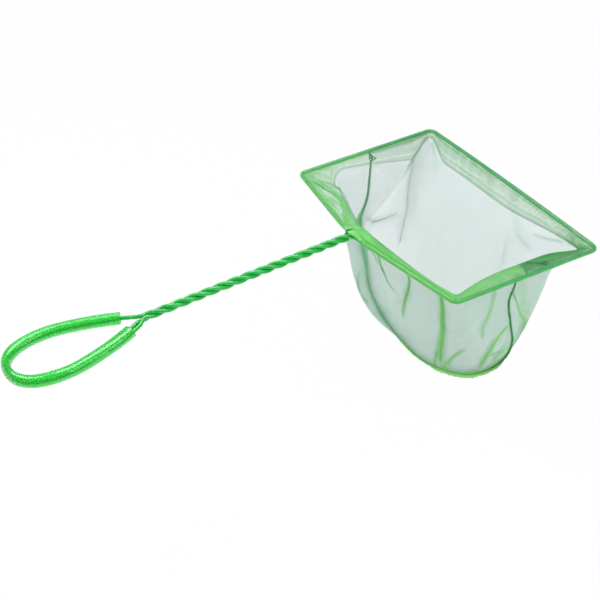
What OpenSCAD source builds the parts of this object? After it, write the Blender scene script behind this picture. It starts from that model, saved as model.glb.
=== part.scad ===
// Hand net for an aquarium: one coated wire is bent into the mouth, laid up into a three-strand
// handle and closed in a sleeved grip loop. Two mesh panels hang from casings round the mouth.
// The origin is the middle of the grip. +X runs along the handle to the mouth, and +Z is up.

/* [Mouth] */
// Long side of the mouth, across the handle
mouth_length = 150; // [120:1:190]
// Short side of the mouth, along the handle
mouth_width = 100; // [80:1:130]
// How far the handle side is drawn out to a point
neck_reach = 11; // [7:0.5:16]
// How far that point stands off the middle
neck_offset = 3.5; // [0:0.5:8]
// How far the bend point of the far side stands out
far_bow = 2; // [1:0.5:6]
// How far the four corners are twisted out of one plane
mouth_twist = 1.2; // [0:0.1:2]
// Bend radius of the wire at the four corners
corner_radius = 4; // [3:0.5:6]

/* [Wire] */
// Outer diameter of the coated wire
wire_d = 2.2; // [1.8:0.1:2.5]
// Clearance between neighbouring strands
strand_gap = 0.1; // [0.05:0.05:0.2]
// Length of the three-strand handle
twist_length = 127.5; // [90:0.5:170]
// Turns in that length
twist_turns = 5.15; // [4:0.05:7]
// How far the handle dips below the plane of the mouth
droop = 2.8; // [0:0.2:6]

/* [Grip] */
// Length of the grip loop from the last turn to its tip
loop_length = 71; // [62:1:95]
// Width of the grip loop between wire centres
loop_width = 33; // [28:1:40]
// Outer diameter of the soft sleeve
sleeve_d = 6.5; // [6:0.1:7.5]
// Wall of the soft sleeve
sleeve_wall = 0.8; // [0.6:0.1:1]
// Outer thickness of the sleeve where the tip of the loop pinches it
pinch = 4.5; // [4.3:0.1:5]
// Outer width of the sleeve end that holds two wires
double_width = 7.2; // [6.8:0.1:8]
// Bare wire between the last turn and the sleeve
bare_lead = 11; // [8:0.5:14]
// Length of the spare wire end inside the sleeve
tail_length = 16; // [10:1:20]

/* [Bag] */
// Depth of the bag below the mouth
bag_depth = 120; // [90:1:140]
// How far the front panel bellies out between mouth and seam
front_bulge = 10; // [4:1:16]
// How far the back panel bellies out between mouth and seam
back_bulge = 7; // [2:1:12]
// Thickness of a mesh panel
panel_wall = 0.4; // [0.3:0.05:0.6]
// Width of the casing from the wire to its stitched edge, on the handle side
hem_depth = 10; // [8:0.5:14]
// Thickness of one layer of the casing
hem_wall = 0.3; // [0.2:0.05:0.4]
// Play between the wire and its casing
hem_play = 0.1; // [0.05:0.05:0.3]
// Width of the overcast seam
seam_width = 2.4; // [1.8:0.1:3]
// Thickness of the overcast seam
seam_thick = 1.1; // [0.8:0.1:1.4]
// Diameter of the sewing thread
thread_d = 0.5; // [0.4:0.05:0.7]

/* [Hidden] */

wire_r = wire_d / 2;
half_x = mouth_width / 2;
half_y = mouth_length / 2;
// Clearance where two soft or butted pieces meet
seat = 0.2;
// Sides of a swept wire, the sleeve and the casings, and rings in one turn of a strand
wire_sides = 8;
rim_sides = 12;
sleeve_sides = 12;
turn_rings = 16;

function unit(v) = v / norm(v);
function mix(a, b, t) = a * (1 - t) + b * t;
function bezier(a, b, c, d, t) =
    pow(1 - t, 3) * a + 3 * pow(1 - t, 2) * t * b + 3 * (1 - t) * t * t * c + pow(t, 3) * d;
function curve(a, b, c, d, n) = [for (i = [0:n]) bezier(a, b, c, d, i / n)];
function without_last(l) = [for (i = [0:len(l) - 2]) l[i]];
function backwards(l) = [for (i = [len(l) - 1:-1:0]) l[i]];
function smooth(t) = let (s = max(0, min(1, t))) s * s * (3 - 2 * s);
function run(path, i = 0, sum = 0) =
    i == len(path) - 1 ? [sum] : concat([sum], run(path, i + 1, sum + norm(path[i + 1] - path[i])));
// Evenly spaced points along a path, from one share of its length to another
function paced(path, n, first = 0, last = 1) =
    let (at = run(path), all = at[len(at) - 1], axes = [0:len(path[0]) - 1],
         tables = [for (k = axes) [for (i = [0:len(path) - 1]) [at[i], path[i][k]]]])
    [for (i = [0:n]) let (s = all * mix(first, last, i / n)) [for (k = axes) lookup(s, tables[k])]];
function heading(path, i) = unit(path[min(i + 1, len(path) - 1)] - path[max(i - 1, 0)]);

// Smooth curve through values that stand at their own keys
function through(keys, values, x) =
    let (last = len(keys) - 1, i = max([for (k = [0:last - 1]) x < keys[k] ? 0 : k]), j = i + 1,
         a = max(i - 1, 0), b = min(j + 1, last), h = keys[j] - keys[i], t = (x - keys[i]) / h,
         p = (values[j] - values[a]) / (keys[j] - keys[a]),
         q = (values[b] - values[i]) / (keys[b] - keys[i]))
    (1 + 2 * t) * pow(1 - t, 2) * values[i] + t * pow(1 - t, 2) * h * p
        + t * t * (3 - 2 * t) * values[j] + t * t * (t - 1) * h * q;

// Closed skin between rings or rows of points. Each layer is a grid, and the second one is the
// inside. Rows join end to end where the grid wraps round a bore.
module shell(outer, inner, wraps) {
    rows = len(outer);
    cols = len(outer[0]);
    last = wraps ? cols - 1 : cols - 2;
    function at(layer, r, c) = layer * rows * cols + r * cols + c % cols;
    function two(a, b, c, d) = [[a, b, c], [a, c, d]];
    skins = [for (r = [0:rows - 2]) for (c = [0:last]) each concat(
        two(at(0, r, c), at(0, r, c + 1), at(0, r + 1, c + 1), at(0, r + 1, c)),
        two(at(1, r, c), at(1, r + 1, c), at(1, r + 1, c + 1), at(1, r, c + 1)))];
    ends = [for (c = [0:last]) each concat(
        two(at(0, 0, c), at(1, 0, c), at(1, 0, c + 1), at(0, 0, c + 1)),
        two(at(0, rows - 1, c), at(0, rows - 1, c + 1), at(1, rows - 1, c + 1), at(1, rows - 1, c)))];
    sides = wraps ? [] : [for (r = [0:rows - 2]) each concat(
        two(at(0, r, 0), at(0, r + 1, 0), at(1, r + 1, 0), at(1, r, 0)),
        two(at(0, r, cols - 1), at(1, r, cols - 1), at(1, r + 1, cols - 1), at(0, r + 1, cols - 1)))];
    points = concat([for (row = outer) each row], [for (row = inner) each row]);
    polyhedron(points, concat(skins, ends, sides));
}

// Ring of points round a path point, with its own half width and half height
function ring(path, i, wide, high, sides) =
    let (ahead = heading(path, i), across = unit(cross(ahead, [0, 0, 1])), up = cross(across, ahead))
    [for (k = [0:sides - 1]) path[i] + wide * cos(360 * k / sides) * across
        + high * sin(360 * k / sides) * up];

// Solid bar swept along a path
module bar(path, wide, high, sides) {
    rings = len(path);
    points = [for (i = [0:rings - 1]) each ring(path, i, wide, high, sides)];
    skins = [for (i = [0:rings - 2]) for (k = [0:sides - 1])
        let (a = i * sides + k, b = i * sides + (k + 1) % sides)
        each [[a, b, b + sides], [a, b + sides, a + sides]]];
    caps = [for (k = [1:sides - 2]) each [[0, k + 1, k],
        [(rings - 1) * sides, (rings - 1) * sides + k, (rings - 1) * sides + k + 1]]];
    polyhedron(points, concat(skins, caps));
}

// The mouth, in its own frame: its middle is zero and it lies flat.
neck = [-half_x - neck_reach, neck_offset];
corner_a = [-half_x, half_y];
corner_b = [half_x, half_y];
corner_c = [half_x, -half_y];
corner_d = [-half_x, -half_y];
far_point = [half_x + far_bow, 0];
// Bare stretch of each leg beside the neck, where the strands run into the mouth
leg_bare = 9;
leg_a = neck + leg_bare * unit(corner_a - neck);
leg_d = neck + leg_bare * unit(corner_d - neck);
// Share of half the far side that its long bend takes up on each side of the middle
far_bend_share = 0.9;
far_turn = atan(far_bow / half_y);
far_radius = far_bend_share * half_y / tan(far_turn);
mouth_corners = [leg_a, corner_a, corner_b, far_point, corner_c, corner_d, leg_d];
mouth_radii = [0, corner_radius, corner_radius, far_radius, corner_radius, corner_radius, 0];

function turn_at(pts, i) =
    let (u = unit(pts[i] - pts[i - 1]), v = unit(pts[i + 1] - pts[i]))
    atan2(u[0] * v[1] - u[1] * v[0], u * v);
function tangent_length(pts, radii, i) =
    i == 0 || i == len(pts) - 1 ? 0 : radii[i] * tan(abs(turn_at(pts, i)) / 2);
// Points of a bent wire's centre line, with n steps round each bend
function bent_path(pts, radii, n) = [for (i = [0:len(pts) - 1]) each
    tangent_length(pts, radii, i) == 0 ? [pts[i]] :
    let (u = unit(pts[i] - pts[i - 1]), turn = turn_at(pts, i), t = tangent_length(pts, radii, i),
         side = sign(turn), left = [-u[1], u[0]], centre = pts[i] - t * u + side * radii[i] * left,
         first = atan2(-side * left[1], -side * left[0]))
    [for (k = [0:n]) centre + radii[i] * [cos(first + turn * k / n), sin(first + turn * k / n)]]];

// The mouth isn't quite flat: opposite corners stand up and hang down by the same amount.
function lift(p) = mouth_twist * p[0] * p[1] / (half_x * half_y);
function raised(p) = [p[0], p[1], lift(p)];

// The handle, in its own frame: s from the neck to the grip, t across and w up.
function handle(p) = [neck[0] - p[0] * cos(droop) - p[2] * sin(droop), neck[1] + p[1],
    -p[0] * sin(droop) + p[2] * cos(droop)];
grip_at = twist_length + loop_length / 2;
grip = handle([grip_at, 0, 0]);
module from_grip() { translate(-grip) children(); }

lay_radius = (wire_d + strand_gap) / sqrt(3);
// Where the helix starts and stops, short of the neck and of the loop
lay_in = 4;
lay_short = 2;
lay_out = twist_length - lay_short;
// Turn of the left, right and lower strands about the axis at the grip end
left_turn = 30;
right_turn = 150;
under_turn = 270;
function lay(s, turn) = let (a = turn - 360 * twist_turns * (s - lay_out) / twist_length)
    [s, lay_radius * cos(a), lay_radius * sin(a)];
lay_rings = round(turn_rings * twist_turns);
function helix(turn) = [for (i = [0:lay_rings]) lay(mix(lay_in, lay_out, i / lay_rings), turn)];
ring_pitch = (lay_out - lay_in) / lay_rings;
function lay_heading(s, turn) = unit(lay(s + ring_pitch, turn) - lay(s - ring_pitch, turn));

// Half of the loop's outline, as shares of its length and of half its width
loop_shares = [[0, 0.06], [0.19, 0.56], [0.52, 1], [0.66, 1], [0.85, 1], [1, 0.73], [1, 0]];
loop_pts = [for (p = loop_shares) [twist_length + loop_length * p[0], loop_width / 2 * p[1], 0]];
loop_rings = 14;
half_loop = concat(
    without_last(curve(loop_pts[0], loop_pts[1], loop_pts[2], loop_pts[3], loop_rings)),
    curve(loop_pts[3], loop_pts[4], loop_pts[5], loop_pts[6], loop_rings));
function mirrored(p) = [p[0], -p[1], p[2]];
loop_line = concat(half_loop, [for (i = [len(half_loop) - 2:-1:0]) mirrored(half_loop[i])]);
loop_run = run(loop_line);
loop_all = loop_run[len(loop_run) - 1];
// Share of the loop's line at which the sleeve begins, and at which strands become the loop
sleeve_share = bare_lead / loop_all;
lead_share = sleeve_share / 2;
tail_share = 1 - sleeve_share - tail_length / loop_all;
// The two wires in the lower sleeve end lie side by side, half a pitch each from its middle
side_step = (wire_d + strand_gap) / 2 + strand_gap;
function beside(path, i, by) = path[i] + by * unit(cross(heading(path, i), [0, 0, 1]));
// Share of the line over which the loop wire makes room for the spare end
yield_share = 0.08;
function pair_share(share) = smooth((share - tail_share) / yield_share + 1);
loop_steps = 48;
loop_paced = paced(loop_line, loop_steps, lead_share, 1 - lead_share);
function loop_share(i) = mix(lead_share, 1 - lead_share, i / loop_steps);
loop_wire_path = [for (i = [0:loop_steps])
    beside(loop_paced, i, side_step * pair_share(loop_share(i)))];
tail_steps = 10;
tail_paced = paced(loop_line, tail_steps, 1 - lead_share, tail_share);
tail_path = [for (i = [0:tail_steps]) beside(tail_paced, i, side_step)];

bridge_share = 0.4;
function bridged(a, a_ahead, b, b_ahead, n) =
    let (reach = bridge_share * norm(b - a)) curve(a, a + reach * a_ahead, b - reach * b_ahead, b, n);
// Both ends of a strand are led from the helix into the wire that it becomes.
lead_rings = 6;
function into_leg(turn, leg) =
    let (from = handle(lay(lay_in, turn)), back = handle([0, 0, 0]) - handle(lay_heading(lay_in, turn)),
         to = raised(leg), ahead = unit([leg[0] - neck[0], leg[1] - neck[1], 0]))
    bridged(from, unit(back), to - seat * ahead, ahead, lead_rings);
function into_loop(turn, to, ahead) =
    bridged(lay(lay_out, turn), lay_heading(lay_out, turn), to, ahead, lead_rings);
function strand(turn, near, far) = concat(
    without_last(backwards(near)), [for (p = helix(turn)) handle(p)],
    [for (i = [1:len(far) - 1]) handle(far[i])]);

module wire(path, sides) { color("mediumseagreen") from_grip() bar(path, wire_r, wire_r, sides); }
bend_rings = 6;
rim_path = bent_path(mouth_corners, mouth_radii, bend_rings);
module rim_wire() { wire([for (p = rim_path) raised(p)], rim_sides); }
module strand_left() {
    ahead = heading(loop_wire_path, 0);
    far = into_loop(left_turn, loop_wire_path[0] - seat * ahead, ahead);
    wire(strand(left_turn, into_leg(left_turn, leg_a), far), wire_sides);
}
module strand_right() {
    far = concat(without_last(into_loop(right_turn, tail_path[0], heading(tail_path, 0))), tail_path);
    wire(strand(right_turn, into_leg(right_turn, leg_d), far), wire_sides);
}
module strand_under() {
    ahead = -heading(loop_wire_path, loop_steps);
    far = into_loop(under_turn, loop_wire_path[loop_steps] - seat * ahead, ahead);
    near = [for (i = [0:1]) handle(lay(lay_in - i * ring_pitch, under_turn))];
    wire(strand(under_turn, near, far), wire_sides);
}
module loop_wire() { wire([for (p = loop_wire_path) handle(p)], wire_sides); }

sleeve_steps = 42;
sleeve_path = paced(loop_line, sleeve_steps, sleeve_share, 1 - sleeve_share);
// The tip pinches the sleeve, and the pair of wires spreads its lower end
pinch_share = 0.14;
pair_from_share = 0.8;
function sleeve_wide(i) =
    let (at = i / sleeve_steps, tip = 1 - smooth(abs(at - 1 / 2) / pinch_share),
         pair = smooth((at - pair_from_share) / pinch_share))
    mix(sleeve_d, pinch, tip) + (double_width - sleeve_d) * pair;
function sleeve_high(i) = sleeve_d + (sleeve_d - sleeve_wide(i)) / 2;
function sleeve_ring(i, inset) =
    let (wide = sleeve_wide(i) / 2 - inset, high = sleeve_high(i) / 2 - inset)
    [for (p = ring(sleeve_path, i, wide, high, sleeve_sides)) handle(p)];
module grip_sleeve() {
    color("springgreen", 0.8) from_grip() shell(
        [for (i = [0:sleeve_steps]) sleeve_ring(i, 0)],
        [for (i = [0:sleeve_steps]) sleeve_ring(i, sleeve_wall)], true);
}

// The casing leans in from the wire by a different angle on each side of the mouth, and its width
// is a share of hem_depth. Sides in order: handle side, far side, left side, right side.
side_leans = [28, 46, 50, -4];
side_hem_shares = [1, 1.25, 1.05, 1.15];
// How fast one side's value gives way to the next one's round a corner
side_power = 6;
function side_parts(p) = [for (k = [-p[0] / half_x, p[0] / half_x, p[1] / half_y, -p[1] / half_y])
    pow(max(0, k), side_power)];
function by_side(values, p) =
    let (w = side_parts(p)) values * w / (w * [1, 1, 1, 1]);
function lean(p) = by_side(side_leans, p);
// The casing narrows towards each corner, where its cloth is gathered
corner_share = 0.62;
corner_reach = 46;
function near_corner(p) = smooth(1 - norm([half_x - abs(p[0]), half_y - abs(p[1])]) / corner_reach);
function hem_at(p) =
    hem_depth * by_side(side_hem_shares, p) * (1 - (1 - corner_share) * near_corner(p));
function edge_at(p, by) = let (a = by * cos(lean(p)))
    [p[0] * (half_x - a) / half_x, p[1] * (half_y - a) / half_y, lift(p) - by * sin(lean(p))];
function stitched(p, more = 0) = edge_at(p, hem_at(p) + more);
function casing_frame(path, i) =
    let (ahead = heading(path, i), a = lean(path[i]),
         inward = [ahead[1], -ahead[0], 0] * sign(ahead[1] * -path[i][0] + ahead[0] * path[i][1]))
    [cos(a) * inward - [0, 0, sin(a)], sin(a) * inward + [0, 0, cos(a)]];
// The cloth turns this far round the wire, starting this far off the flap
wrap_turn = 250;
wrap_first = 180 - wrap_turn / 2;
wrap_steps = 8;
// One ring of the casing: round the wire from flap to flap, and the stitched edge
function casing_ring(path, i, r, more, half_gap) =
    let (f = casing_frame(path, i), c = raised(path[i]), tip = stitched(path[i], more))
    concat([for (k = [0:wrap_steps]) let (a = wrap_first + wrap_turn * k / wrap_steps)
                c + r * (cos(a) * f[0] + sin(a) * f[1])],
           [tip - half_gap * f[1], tip + half_gap * f[1]]);
wrap_r = wire_r + hem_play;
// Half of the hollow left between the two layers at the stitched edge
hem_hollow = hem_wall / 5;
module casing(path) {
    n = len(path) - 1;
    shell([for (i = [0:n]) casing_ring(path, i, wrap_r + hem_wall, 0, hem_hollow + hem_wall)],
          [for (i = [0:n]) casing_ring(path, i, wrap_r, -2 * hem_wall, hem_hollow)], true);
}
mid_a = [0, half_y];
mid_d = [0, -half_y];
// The casing stands back from the neck, where the handle comes out of it
hem_standoff = 3;
neck_clear = leg_bare + hem_standoff;
hem_a = neck + neck_clear * unit(corner_a - neck);
hem_d = neck + neck_clear * unit(corner_d - neck);
// Points along a bent line: both ends and the middle of every bend, and others at most a step apart
cloth_step = 10;
function bend_keys(bends) = concat([0],
    [for (j = [0:bends - 1]) each [for (k = [0, 1, 2]) 1 + j * (bend_rings + 1) + k * bend_rings / 2]],
    [bends * (bend_rings + 1) + 1]);
function cornered(pts, radii) =
    let (path = bent_path(pts, radii, bend_rings), keys = bend_keys(len(pts) - 2))
    concat([path[0]], [for (i = [1:len(keys) - 1])
        let (part = [for (k = [keys[i - 1]:keys[i]]) path[k]], at = run(part),
             steps = ceil(at[len(at) - 1] / cloth_step), points = paced(part, steps))
        each [for (k = [1:steps]) points[k]]]);
one_bend = [0, corner_radius, 0];
end_gap = [seat, 0];
left_hem_path = cornered([mid_a - end_gap, corner_a, hem_a], one_bend);
right_hem_path = cornered([hem_d, corner_d, mid_d - end_gap], one_bend);
back_bends = [0, corner_radius, far_radius, corner_radius, 0];
back_hem_path = cornered([mid_d + end_gap, corner_c, far_point, corner_b, mid_a + end_gap], back_bends);
module hem_left() { color("lightgreen", 0.6) from_grip() casing(left_hem_path); }
module hem_right() { color("lightgreen", 0.6) from_grip() casing(right_hem_path); }
module hem_back() { color("lightgreen", 0.6) from_grip() casing(back_hem_path); }

// Running thread that closes the casing, on its upper face
stitch_inset = 2 * thread_d;
stitch_rise = hem_hollow + hem_wall + thread_d + seat / 2;
thread_sides = 5;
module hem_thread(path) {
    line = [for (i = [0:len(path) - 1])
        stitched(path[i], -stitch_inset) + stitch_rise * casing_frame(path, i)[1]];
    color("darkgreen") from_grip() bar(line, thread_d / 2, thread_d / 2, thread_sides);
}
module hem_thread_left() { hem_thread(left_hem_path); }
module hem_thread_right() { hem_thread(right_hem_path); }
module hem_thread_back() { hem_thread(back_hem_path); }

// The seam hangs in the plane across the handle, from casing to casing. Its knots are shares of
// half the mouth's length and of the bag's depth, from the left end down and up to the right one.
seam_knot_shares = [[0.947, 0.117], [0.96, 0.267], [1.013, 0.383], [1.053, 0.483], [1, 0.6], [0.92, 0.7],
    [0.84, 0.833], [0.667, 0.925], [0.4, 0.983], [0.12, 1], [-0.16, 0.958], [-0.507, 0.842],
    [-0.747, 0.7], [-0.907, 0.542], [-0.96, 0.417], [-0.907, 0.317], [-0.853, 0.217], [-0.88, 0.1]];
seam_pts = concat([stitched(mid_a)],
    [for (k = seam_knot_shares) [0, half_y * k[0], -bag_depth * k[1]]], [stitched(mid_d)]);
seam_steps = 3;
seam_key_shares = [for (i = [0:len(seam_pts) - 1]) i];
seam_line = [for (i = [0:seam_steps * (len(seam_pts) - 1)])
    through(seam_key_shares, seam_pts, i / seam_steps)];

// Panels: straight threads from the casing's edge to the seam, bellied out between them
panel_rows = 10;
front_line = [mid_a, corner_a, neck, corner_d, mid_d];
// The front panel's edge rounds the neck more gently than the wire does
neck_round = 12;
front_bends = [0, corner_radius, neck_round, corner_radius, 0];
front_edge = cornered(front_line, front_bends);
back_edge = cornered([mid_a, corner_b, far_point, corner_c, mid_d], back_bends);
// The seam's first stretch is the panel's own side, so that the panel has four sides
side_share = 0.03;
// How much less of the seam than of the mouth belongs to a short side
corner_lag_share = 0.03;
function seam_pace(u) = mix(side_share, 1 - side_share, u - corner_lag_share * sin(360 * u));
seam_fine = 200;
seam_at = paced(seam_line, seam_fine);
function seam_point(u) =
    let (k = seam_pace(u) * seam_fine, i = floor(k)) mix(seam_at[i], seam_at[min(i + 1, seam_fine)], k - i);
// Relief of a panel, in shares of its bulge: rows from the casing down to the seam, and columns
// from the left side to the right one
relief_down_shares = [0, 0.15, 0.35, 0.55, 0.75, 0.88, 1];
relief_across_shares = [for (i = [0:10]) i / 10];
front_relief_shares = [
    [-0.1, -0.1, -0.2, -0.25, -0.1, 0.05, 0.25, 0.2, 0.05],
    [-0.05, -0.05, -0.2, -0.2, 0.05, 0.35, 0.6, 0.45, 0.2],
    [0, 0.2, 0.2, 0.25, 0.35, 0.65, 0.9, 0.75, 0.3],
    [0.05, 0.5, 0.7, 0.6, 0.4, 0.7, 0.85, 0.75, 0.3],
    [0.05, 0.5, 0.65, 0.7, 0.25, 0.35, 0.5, 0.45, 0.2]];
back_relief_shares = [
    [0.2, 0.2, 0.2, 0.15, 0.05, -0.2, -1.05, -1.7, -0.85],
    [0.4, 0.4, 0.6, 0.55, 0.35, 0, -0.9, -1.2, -0.65],
    [0.6, 0.6, 1, 1, 0.7, 0.35, -0.35, -0.55, -0.2],
    [0.6, 0.6, 1, 1, 0.8, 0.5, 0.1, 0, 0.15],
    [0.35, 0.4, 0.6, 0.6, 0.5, 0.35, 0.15, 0.15, 0.15]];
function relief(table, u, v) = through(relief_down_shares,
    concat([0], [for (row = table) through(relief_across_shares, concat([0], row, [0]), u)], [0]), v);
// How far the relief sags, as a share of how far it stands out
sag_share = 0.25;
function panel_point(top, side, bulge, table, u, v) =
    let (bottom = seam_point(u) + [side * seat / 2, 0, 0])
    mix(top, bottom, v) + bulge * relief(table, u, v) * [side, 0, -sag_share];
function grid(edge, side, bulge, table) =
    let (at = run(edge), last = len(edge) - 1)
    [for (r = [0:panel_rows]) [for (c = [0:last])
        panel_point(stitched(edge[c], seat), side, bulge, table, at[c] / at[last], r / panel_rows)]];
function facing(g, r, c) =
    let (u = g[r][min(c + 1, len(g[r]) - 1)] - g[r][max(c - 1, 0)],
         v = g[min(r + 1, panel_rows)][c] - g[max(r - 1, 0)][c])
    unit(cross(u, v));
module panel(edge, side, bulge, table) {
    outer = grid(edge, side, bulge, table);
    inner = [for (r = [0:panel_rows]) [for (c = [0:len(edge) - 1])
        outer[r][c] - side * panel_wall * facing(outer, r, c)]];
    color("honeydew", 0.6) from_grip()
        if (side < 0) shell(outer, inner, false);
        else shell([for (row = outer) backwards(row)], [for (row = inner) backwards(row)], false);
}
module front_panel() { panel(front_edge, -1, front_bulge, front_relief_shares); }
module back_panel() { panel(back_edge, 1, back_bulge, back_relief_shares); }

// Overcast edge of both panels, a flat bead just outside them
bead_steps = 44;
bead_line = paced(seam_line, bead_steps, side_share, 1 - side_share);
bead_path = [for (i = [0:bead_steps]) let (ahead = heading(bead_line, i))
    bead_line[i] + (seam_width / 2 + seat) * [0, -ahead[2], ahead[1]]];
module bag_seam() {
    color("darkseagreen") from_grip() bar(bead_path, seam_thick / 2, seam_width / 2, wire_sides);
}

// Knot of seam thread on the casing at each end of the seam
knot_ball = 1.5 * thread_d;
module knot(p) {
    rise = wrap_r + hem_wall + thread_d + seat;
    color("darkgreen") from_grip() translate(edge_at(p, hem_at(p) / 2) + [0, 0, rise]) {
        rotate_extrude($fn = 24) translate([2 * thread_d, 0]) circle(r = thread_d, $fn = 16);
        sphere(r = knot_ball, $fn = 24);
    }
}
module seam_knot_left() { knot(mid_a); }
module seam_knot_right() { knot(mid_d); }

rim_wire();
strand_left();
strand_right();
strand_under();
loop_wire();
grip_sleeve();
hem_left();
hem_right();
hem_back();
front_panel();
back_panel();
bag_seam();
hem_thread_left();
hem_thread_right();
hem_thread_back();
seam_knot_left();
seam_knot_right();
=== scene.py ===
import math
import bpy
import numpy as np
from mathutils import Matrix, Vector


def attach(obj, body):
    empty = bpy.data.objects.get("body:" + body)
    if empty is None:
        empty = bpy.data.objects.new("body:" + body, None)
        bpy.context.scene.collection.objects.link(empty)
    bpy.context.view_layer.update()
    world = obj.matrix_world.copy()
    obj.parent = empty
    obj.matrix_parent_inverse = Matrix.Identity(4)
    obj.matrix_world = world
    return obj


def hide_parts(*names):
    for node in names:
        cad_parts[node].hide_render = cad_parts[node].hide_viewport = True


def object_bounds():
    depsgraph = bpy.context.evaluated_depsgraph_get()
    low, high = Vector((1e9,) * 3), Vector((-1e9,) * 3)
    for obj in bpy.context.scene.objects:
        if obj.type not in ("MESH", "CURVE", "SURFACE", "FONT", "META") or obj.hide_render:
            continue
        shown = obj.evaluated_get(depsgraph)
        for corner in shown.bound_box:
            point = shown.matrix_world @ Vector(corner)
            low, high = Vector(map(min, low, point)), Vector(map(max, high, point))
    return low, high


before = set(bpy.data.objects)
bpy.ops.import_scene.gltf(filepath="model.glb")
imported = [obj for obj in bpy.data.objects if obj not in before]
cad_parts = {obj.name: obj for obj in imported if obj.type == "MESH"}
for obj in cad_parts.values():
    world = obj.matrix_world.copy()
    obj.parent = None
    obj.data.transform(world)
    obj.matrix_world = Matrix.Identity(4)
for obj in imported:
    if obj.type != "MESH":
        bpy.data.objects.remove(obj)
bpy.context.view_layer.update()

scene = bpy.context.scene
rng = np.random.default_rng(7)

# All lengths are in millimetres until a mesh is made. The mouth's own frame has its middle at
# zero, X away from the handle and Z up; gripOffset takes it to the frame of the CAD.
mouth = dict(
    halfX=50.0, halfY=75.0, neckReach=11.0, neckOffset=3.5, farBow=2.0,
    cornerRadius=4.0, neckRound=12.0, twist=1.2)
handle = dict(
    droop=2.8, twistLength=127.5, turns=5.15, loopLength=71.0, loopWidth=33.0,
    wireWidth=2.2, strandGap=0.1, bareLead=11.0, tailLength=16.0)
wireRadius = handle["wireWidth"] / 2


def unit(v):
    v = np.asarray(v, float)
    return v / np.linalg.norm(v, axis=-1, keepdims=True)


def smooth(t):
    t = np.clip(t, 0, 1)
    return t * t * (3 - 2 * t)


def keyed(table, x):
    # smooth steps between the keys of a table
    keys = np.array(sorted(table), float)
    values = np.array([table[k] for k in sorted(table)], float)
    i = np.clip(np.searchsorted(keys, x) - 1, 0, len(keys) - 2)
    t = smooth((x - keys[i]) / (keys[i + 1] - keys[i]))
    return values[i] * (1 - t) + values[i + 1] * t


def through(keys, table, x):
    # smooth curves through the rows of a table, which stand at their own keys
    keys, table = np.array(keys, float), np.array(table, float)
    x = np.asarray(x, float)
    i = np.clip(np.searchsorted(keys, x, side="right") - 1, 0, len(keys) - 2)
    j = i + 1
    a, b, h = np.maximum(i - 1, 0), np.minimum(j + 1, len(keys) - 1), keys[j] - keys[i]
    t = ((x - keys[i]) / h)[:, None]
    p = (table[j] - table[a]) * (h / (keys[j] - keys[a]))[:, None]
    q = (table[b] - table[i]) * (h / (keys[b] - keys[i]))[:, None]
    return ((1 + 2 * t) * (1 - t) ** 2 * table[i] + t * (1 - t) ** 2 * p
            + t * t * (3 - 2 * t) * table[j] + t * t * (t - 1) * q)


def arcLength(path):
    return np.r_[0, np.cumsum(np.linalg.norm(np.diff(path, axis=0), axis=1))]


def sampled(at, run, path):
    return np.stack([np.interp(at, run, path[:, k]) for k in range(path.shape[1])], -1)


def paced(path, count, first=0.0, last=1.0):
    # evenly spaced points along a path
    path = np.asarray(path, float)
    run = arcLength(path)
    return sampled(np.linspace(first, last, count + 1) * run[-1], run, path)


def bezier(a, b, c, d, count):
    t = np.linspace(0, 1, count + 1)[:, None]
    a, b, c, d = (np.asarray(p, float) for p in (a, b, c, d))
    return (1 - t) ** 3 * a + 3 * (1 - t) ** 2 * t * b + 3 * (1 - t) * t * t * c + t ** 3 * d


def spline(knots, count):
    # smooth curve through its knots
    knots = np.asarray(knots, float)
    full = np.vstack([2 * knots[0] - knots[1], knots, 2 * knots[-1] - knots[-2]])
    out = []
    for i in range(1, len(full) - 2):
        a, b, c, d = full[i - 1:i + 3]
        for t in np.linspace(0, 1, count, endpoint=False):
            out.append(0.5 * (2 * b + (c - a) * t + (2 * a - 5 * b + 4 * c - d) * t * t
                              + (3 * b - a - 3 * c + d) * t ** 3))
    return np.array(out + [knots[-1]])


def headings(path):
    return unit(np.gradient(np.asarray(path, float), axis=0))


def wobble(x, y, seed, size):
    # smooth noise in two directions, made of a few sine waves
    r = np.random.default_rng(seed)
    total = 0
    for k in range(5):
        angle, shift = r.uniform(0, 2 * math.pi, 2)
        wave = size * r.uniform(0.6, 1.7)
        total = total + np.sin(
            2 * math.pi * (x * math.cos(angle) + y * math.sin(angle)) / wave + shift)
    return total / 5


droop = math.radians(handle["droop"])
neck = np.array([-mouth["halfX"] - mouth["neckReach"], mouth["neckOffset"]])


def onHandle(points):
    # s from the neck towards the grip, t across, w up
    p = np.atleast_2d(points)
    return np.stack([
        neck[0] - p[:, 0] * math.cos(droop) - p[:, 2] * math.sin(droop),
        neck[1] + p[:, 1],
        -p[:, 0] * math.sin(droop) + p[:, 2] * math.cos(droop)], 1)


gripOffset = -onHandle([handle["twistLength"] + handle["loopLength"] / 2, 0, 0])[0]


def toFrame(points):
    return (np.asarray(points, float) + gripOffset) / 1000


def bent(corners, radii, count=8):
    # straight legs with an arc at each corner
    out = []
    for i, corner in enumerate(corners):
        p = np.array(corner, float)
        if radii[i] == 0:
            out.append(p)
            continue
        u = unit(p - np.array(corners[i - 1], float))
        v = unit(np.array(corners[i + 1], float) - p)
        turn = math.atan2(u[0] * v[1] - u[1] * v[0], u @ v)
        side = math.copysign(1, turn)
        left = np.array([-u[1], u[0]])
        centre = p - radii[i] * math.tan(abs(turn) / 2) * u + side * radii[i] * left
        first = math.atan2(-side * left[1], -side * left[0])
        out += [centre + radii[i] * np.array([math.cos(a), math.sin(a)])
                for a in first + turn * np.linspace(0, 1, count + 1)]
    return np.array(out)


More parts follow.
